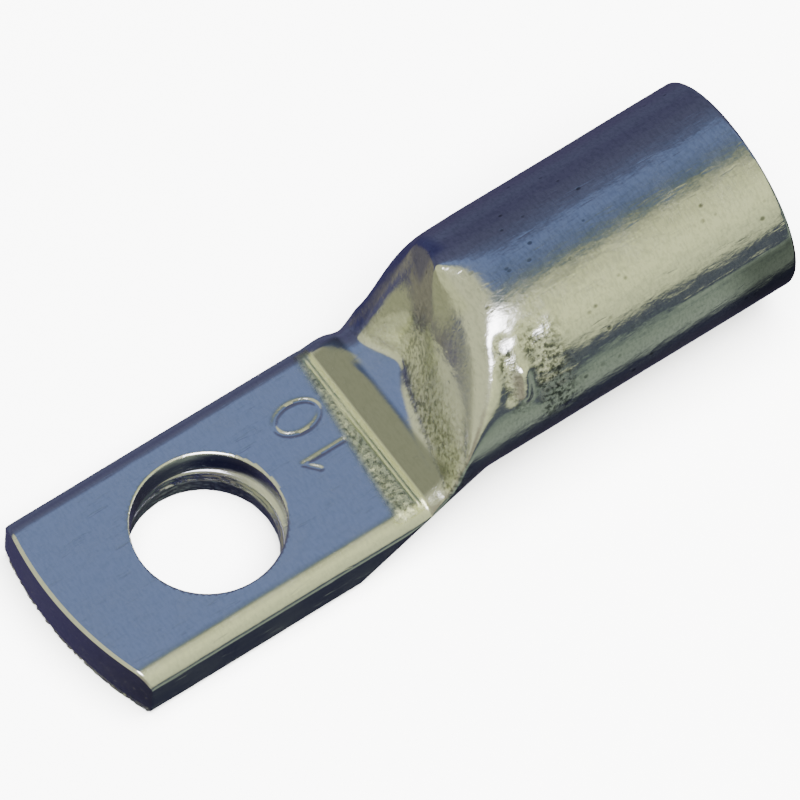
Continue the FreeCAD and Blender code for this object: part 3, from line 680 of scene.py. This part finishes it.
stud = {
    "radius": 5.25, "upperRoll": 0.12, "seamHeight": 2.2, "seamRoll": 0.45, "steps": 200,
    "above": ((0.2, 0.6), (0.02, 0.01)),    # beyond the rolled edge, and above the palm
    "upperTurn": (0.35, math.pi / 2, 5), "upperSink": 0.03,
    "upperWall": (1.2, 0.5, 0.04), "seamEdges": (0.02, -0.03),    # heights from the seam
    "lowerTurn": (0.12, 1, 8), "lowerSink": 0.05, "lowerDepth": 0.62, "lowerPower": 1.5,
    # beyond the hole's radius, and height: the torn lower wall
    "lowerWall": ((0.01, 1.35), (0.02, 1.1), (0.05, 0.8), (0.06, 0.5), (0.08, 0.25), (0.1, -0.3)),
    "lowerShift": (-0.48, -0.06), "lowerShare": 0.97,    # the lower wall's hole beside the upper
    "tornTop": 1.9, "tornDepth": 0.07, "tears": ((1.0, 0.5), (0.5, 0.22)),    # share, size
    "sharpAngle": 38,
}


def makePunch(stud):
    # what the punch takes out of the palm: rolled in at the top, torn out below
    radius, roll, seam, gap = (stud[k] for k in ("radius", "upperRoll", "seamHeight", "seamRoll"))
    top = 2 * lug["palmWall"]
    profile = [(0, top + stud["above"][0][1])]
    profile += [(radius + roll + beyond, top + z) for beyond, z in stud["above"]]
    profile += [(radius + roll * (1 - math.sin(a)),
                 top - roll + roll * math.cos(a) - stud["upperSink"])
                for a in np.linspace(*stud["upperTurn"])]
    profile += [(radius, seam + z) for z in stud["upperWall"]]
    profile += [(radius + gap, seam + z) for z in stud["seamEdges"]]
    profile += [(radius + gap * (1 - t),
                 seam - stud["lowerSink"] - stud["lowerDepth"] * t ** stud["lowerPower"])
                for t in np.linspace(*stud["lowerTurn"])]
    profile += [(radius + beyond, z) for beyond, z in stud["lowerWall"]]
    profile.append((0, stud["lowerWall"][-1][1]))
    shape = bmesh.new()
    verts = [shape.verts.new((r, 0, z)) for r, z in profile]
    edges = [shape.edges.new(pair) for pair in zip(verts, verts[1:])]
    bmesh.ops.spin(shape, geom=verts + edges, cent=(0, 0, 0), axis=(0, 0, 1), angle=2 * math.pi,
                   steps=stud["steps"], use_merge=True)
    bmesh.ops.remove_doubles(shape, verts=shape.verts, dist=weld["punch"])
    for vert in shape.verts:
        across = Vector((vert.co.x, vert.co.y, 0))
        if across.length <= 1:
            continue
        if vert.co.z < seam:
            vert.co = vert.co * stud["lowerShare"] + Vector((*stud["lowerShift"], 0))
            vert.co.z /= stud["lowerShare"]
        if vert.co.z < stud["tornTop"]:
            rough = sum(share * abs(noise.noise(vert.co / size)) for share, size in stud["tears"])
            vert.co += across.normalized() * (stud["tornDepth"] * rough)
    bmesh.ops.recalc_face_normals(shape, faces=shape.faces)
    bmesh.ops.scale(shape, vec=(millimetre,) * 3, verts=shape.verts)
    return addPiece(shape, "punch")


def pierce(piece, punch):
    cut = piece.modifiers.new("studHole", "BOOLEAN")
    cut.operation, cut.solver, cut.object = "DIFFERENCE", "EXACT", punch
    cut.use_hole_tolerant = True
    bpy.context.view_layer.update()
    whole = piece.evaluated_get(bpy.context.evaluated_depsgraph_get())
    mesh = bpy.data.meshes.new_from_object(whole)
    piece.modifiers.clear()
    piece.data = mesh
    bpy.data.objects.remove(punch)
    shape = bmesh.new()
    shape.from_mesh(mesh)
    bmesh.ops.remove_doubles(shape, verts=shape.verts, dist=weld["pierced"])
    bmesh.ops.triangulate(shape, faces=[face for face in shape.faces if len(face.verts) > 4])
    sharp = math.radians(stud["sharpAngle"])
    for face in shape.faces:
        face.smooth = True
    for edge in shape.edges:
        edge.smooth = len(edge.link_faces) != 2 or edge.calc_face_angle(0) < sharp
    print("open edges", sum(1 for edge in shape.edges if len(edge.link_faces) != 2))
    shape.to_mesh(mesh)
    shape.free()


# areas of the skin for its material, in millimetres: pairs are start and full, or last and end
areas = {
    "endTorn": (0.25, 0.6), "endTornBelow": (0.35, 0.75), "endFace": (0.15, 0.32),
    "endFaceBelow": (3.8, 4.1), "endFaceShare": 0.28,
    "holeTorn": (0.3, 0.5), "holeTornBelow": (1.4, 1.7),
    "mouthTorn": (41.9, 42.2), "mouthTornBelow": (2.0, 6.0), "mouthTornShare": 0.6,
    "holeWall": (0.04, 0.1), "holeWallZ": (2.22, 2.3, 4.15, 4.25),
    "lowerEnd": (5.6, 5.7), "lowerWallBelow": (1.45, 1.6),
    "ledgeBelow": (2.16, 2.2), "ledgeFar": (0.5, 4.0),
    # the picture's right side of the hole, as a direction in plan
    "right": (0.82, -0.57), "rightFrom": (-3.5, 0.5), "rightLeast": 0.2,
    # the scoop's valley, where a khaki reflection is painted
    "valleyX": (15.5, 16.5, 20.2, 20.6), "valleyY": (-1.5, -0.5, 5.0, 5.4),
    "valleyAbove": (5.2, 6.0), "valleyShare": 0.25,
    # the ramp's crest and far flank, where a violet reflection is painted
    "crestX": (18.0, 19.0, 21.0, 22.0), "crestY": (3.0, 3.8), "crestAbove": (11.6, 12.6),
    "flankX": (15.5, 16.5, 20.5, 22.0), "flankY": (5.7, 6.1), "flankAbove": (4.8, 5.5),
    "outsideShare": 0.8,
    "brushedFrom": (17.0, 21.0), "brushedPalm": 0.4,
    "strip": (12.85, 12.95, 14.7, 15.1), "stripAbove": (4.2, 4.4), "stripWithin": (6.3, 7.0),
    # how dark the painted shade is on the hole's walls and ledge, on the barrel's top behind the
    # ramp and low on the near side by the mouth
    "holeWallShade": 0.2, "lowerWallShade": 0.4, "ledgeShade": 0.45, "ledgeTint": 0.5,
    "topX": (20.0, 24.0), "topY": (-2.6, -1.4), "barrelTopShade": 0.28,
    "lowX": (35.5, 39.5), "lowBelow": (10.6, 11.2), "lowNear": (3.0, 5.0), "mouthLowShade": 0.95,
}


def markAreas(piece):
    # how rough, wrinkled or torn the metal is at each point, where shade is painted darker and
    # where reflections are painted violet or khaki, for its material
    mesh = piece.data
    points = np.zeros(len(mesh.vertices) * 3)
    mesh.vertices.foreach_get("co", points)
    x, y, z = (points.reshape(-1, 3) / millimetre).T

    def over(value, name):
        return smooth(value, *areas[name])

    def under(value, name):
        return 1 - smooth(value, *areas[name])

    fromEnd, hole = x - endBow(y), np.hypot(x, y)
    beyondLower = np.hypot(x - stud["lowerShift"][0], y - stud["lowerShift"][1]) - stud["radius"]
    right = areas["rightLeast"] + (1 - areas["rightLeast"]) \
        * over(areas["right"][0] * x + areas["right"][1] * y, "rightFrom")
    holeWall = right * under(hole - stud["radius"], "holeWall") * within(z, *areas["holeWallZ"])
    lowerWall = right * under(hole, "lowerEnd") * under(z, "lowerWallBelow")
    ledge = under(hole, "lowerEnd") * under(z, "ledgeBelow") * over(y, "ledgeFar")
    endFace = under(fromEnd, "endFace") * under(z, "endFaceBelow")
    valley = within(x, *areas["valleyX"]) * within(y, *areas["valleyY"]) * over(z, "valleyAbove")
    crest = over(y, "crestY") * over(z, "crestAbove") * within(x, *areas["crestX"])
    flank = over(y, "flankY") * within(x, *areas["flankX"]) * over(z, "flankAbove")
    strip = within(x, *areas["strip"]) * over(z, "stripAbove") * under(np.abs(y), "stripWithin")
    band = pressedBand(x, y, z)
    fields = {
        # painted reflection: a violet tint on the hole's walls and ledge, on the sheared end face
        # and on the ramp's crest and far flank
        "sheared": (holeWall, lowerWall, areas["ledgeTint"] * ledge,
                    areas["endFaceShare"] * endFace,
                    areas["outsideShare"] * crest, areas["outsideShare"] * flank),
        "brushed": (areas["brushedPalm"] + (1 - areas["brushedPalm"]) * over(x, "brushedFrom"),),
        # painted reflection: a khaki tint on the pressed band and in the scoop's valley
        "khakiReflection": (band, areas["valleyShare"] * valley * (1 - crest)),
        "pressed": (band,),
        "wrinkled": (mottledArea(x, y, z),),
        # painted shade: the colour darkened on the strip below the ramp, the hole's walls and
        # ledge, the barrel's top behind the ramp and low on the near side by the mouth
        "paintedShade": (strip, areas["holeWallShade"] * holeWall, areas["lowerWallShade"] * lowerWall,
                      areas["ledgeShade"] * ledge,
                      areas["barrelTopShade"] * over(x, "topX") * over(y, "topY"),
                      areas["mouthLowShade"] * over(x, "lowX") * under(z, "lowBelow")
                      * over(-y, "lowNear")),
        "torn": (under(fromEnd, "endTorn") * under(z, "endTornBelow"),
                 under(beyondLower, "holeTorn") * under(z, "holeTornBelow"),
                 over(x, "mouthTorn") * under(z, "mouthTornBelow") * areas["mouthTornShare"]),
    }
    for name, parts in fields.items():
        layer = mesh.attributes.new(name, "FLOAT", "POINT")
        layer.data.foreach_set("value", np.maximum.reduce(parts).astype(np.float32))


body = wrapRings(rings, "lugBody")
print("skin faces", len(body.data.polygons))
pierce(body, makePunch(stud))
markAreas(body)
print("pierced", len(body.data.polygons))


tin = {
    "colour": (0.84, 0.84, 0.825), "roughness": (0.10, 0.20),
    # kind of pattern, how it is stretched, its inputs
    "patterns": {
        "fine": ("TexNoise", (1, 1, 1), {"Scale": 420.0, "Detail": 6.0}),
        "cloud": ("TexNoise", (1, 1, 1), {"Scale": 160.0, "Detail": 4.0}),
        "scratches": ("TexNoise", (0.25, 1.6, 1.6), {"Scale": 1500.0, "Detail": 3.0}),
        "pits": ("TexVoronoi", (1, 1.4, 1), {"Scale": 800.0}),
        "wrinkle": ("TexNoise", (1, 1, 1), {"Scale": 3000.0, "Detail": 5.0, "Roughness": 0.6}),
        "speck": ("TexNoise", (1, 0.4, 0.6), {"Scale": 5000.0, "Detail": 2.0}),
        "tear": ("TexVoronoi", (1, 1, 1), {"Scale": 2600.0}),
        "ragged": ("TexNoise", (0.5, 1, 1), {"Scale": 1400.0, "Detail": 3.0}),
    },
    # where a pattern starts to show and where it is full
    "scratchSpan": (0.62, 0.72), "pitSpan": (0.20, 0.10), "pitCloud": (0.49, 0.58),
    "blotchSpan": (0.44, 0.60), "speckSpan": (0.42, 0.70), "fineSpan": (0.3, 0.7),
    "pitBrushed": (0.5, 1.0),    # no pits on the palm
    # one dark colour for the stains and for the painted shade
    "stainAndShade": (0.13, 0.14, 0.14), "pitDarkening": 0.8, "paintedShadeStrength": 0.72,
    # the first tint is the metal's own random tone, the second the khaki of a painted reflection
    "speckTint": (0.82, 0.83, 0.84), "khakiReflectionTint": (0.95, 0.98, 0.60),
    # violet tint of the painted reflection on the hole's walls, the end face and the ramp's crest
    # and far flank
    "violetReflectionTint": (0.40, 0.40, 0.70),
    "rougher": {"pressed": 0.22, "wrinkled": 0.10, "torn": 0.2},
    "scratchHeight": 0.10, "pitHeight": 0.10,
    # pattern, the area that it covers, its height
    "heights": (("wrinkle", "wrinkled", 0.6), ("wrinkle", "pressed", 0.35),
                ("tear", "torn", 1.4), ("ragged", "brushed", 0.60)),
    "bumpStrength": 0.6, "bumpDistance": 0.00012,
}


def tinnedCopper(look):
    material, nodes, links = newMaterial("tinnedCopper")
    shader = nodes["Principled BSDF"]
    shader.inputs["Metallic"].default_value = 1
    place = addNode(nodes, "TexCoord").outputs["Object"]

    def texture(kind, stretch, inputs):
        mapping = addNode(nodes, "Mapping")
        mapping.inputs["Scale"].default_value = stretch
        links.new(place, mapping.inputs["Vector"])
        node = addNode(nodes, kind, inputs)
        links.new(mapping.outputs["Vector"], node.inputs["Vector"])
        return node.outputs["Distance" if kind == "TexVoronoi" else "Fac"]

    def mathNode(operation, first, second):
        node = addNode(nodes, "Math", operation=operation)
        for socket, content in enumerate((first, second)):
            if isinstance(content, (int, float)):
                node.inputs[socket].default_value = content
            else:
                links.new(content, node.inputs[socket])
        return node.outputs[0]

    def times(first, second):
        return mathNode("MULTIPLY", first, second)

    def mapped(fac, low, high, start, end):
        node = addNode(nodes, "MapRange", {1: low, 2: high, 3: start, 4: end})
        links.new(fac, node.inputs[0])
        return node.outputs[0]

    def shown(fac, name):
        # a pattern's share, from where it starts to show to where it is full
        start, full = look[name]
        return mapped(fac, min(start, full), max(start, full),
                      float(start > full), float(start < full))

    def tinted(colour, share, tint):
        mix = addNode(nodes, "Mix", data_type="RGBA", blend_type="MULTIPLY")
        mix.inputs[7].default_value = (*tint, 1)
        links.new(share, mix.inputs[0])
        links.new(colour, mix.inputs[6])
        return mix.outputs[2]

    pattern = {name: texture(*settings) for name, settings in look["patterns"].items()}
    area = {name: addNode(nodes, "Attribute", attribute_name=name).outputs["Fac"]
            for name in ("sheared", "brushed", "khakiReflection", "pressed", "wrinkled", "paintedShade",
                         "torn")}
    pitted = times(shown(pattern["pits"], "pitSpan"),
                   times(shown(pattern["cloud"], "pitCloud"),
                         shown(area["brushed"], "pitBrushed")))

    # dark blotches on the wrinkled tin and dark pits: partly oxide and dirt, partly painted dark
    # reflection
    dark = mathNode("MAXIMUM", times(shown(pattern["wrinkle"], "blotchSpan"), area["wrinkled"]),
                    times(pitted, look["pitDarkening"]))
    # painted shade on the strip, the hole's walls and ledge, the barrel's top and low by the mouth
    dark = mathNode("MAXIMUM", dark, times(area["paintedShade"], look["paintedShadeStrength"]))
    stainedAndShaded = addNode(nodes, "Mix", data_type="RGBA")
    stainedAndShaded.inputs[6].default_value = (*look["colour"], 1)
    stainedAndShaded.inputs[7].default_value = (*look["stainAndShade"], 1)
    links.new(dark, stainedAndShaded.inputs[0])
    speckled = times(shown(pattern["speck"], "speckSpan"), area["brushed"])
    colour = tinted(stainedAndShaded.outputs[2], speckled, look["speckTint"])
    # painted reflection: the khaki tint laid over the pressed band and the scoop's valley
    colour = tinted(colour, area["khakiReflection"], look["khakiReflectionTint"])
    # painted reflection: the violet tint laid over the hole's walls, the end face and the ramp's
    # crest and far flank
    colour = tinted(colour, area["sheared"], look["violetReflectionTint"])
    links.new(colour, shader.inputs["Base Color"])

    rough = mapped(pattern["fine"], *look["fineSpan"], *look["roughness"])
    for name, amount in look["rougher"].items():
        rough = mathNode("ADD", rough, times(area[name], amount))
    links.new(rough, shader.inputs["Roughness"])

    height = times(shown(pattern["scratches"], "scratchSpan"), -look["scratchHeight"])
    height = mathNode("SUBTRACT", height, times(pitted, look["pitHeight"]))
    for name, covered, amount in look["heights"]:
        height = mathNode("ADD", height, times(times(pattern[name], area[covered]), amount))
    bump = addNode(nodes, "Bump", {"Strength": look["bumpStrength"],
                                   "Distance": look["bumpDistance"]})
    links.new(height, bump.inputs["Height"])
    links.new(bump.outputs["Normal"], shader.inputs["Normal"])
    return material


body.data.materials.clear()
body.data.materials.append(tinnedCopper(tin))
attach(body, "root")
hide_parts("cable_lug")
print("material ready")
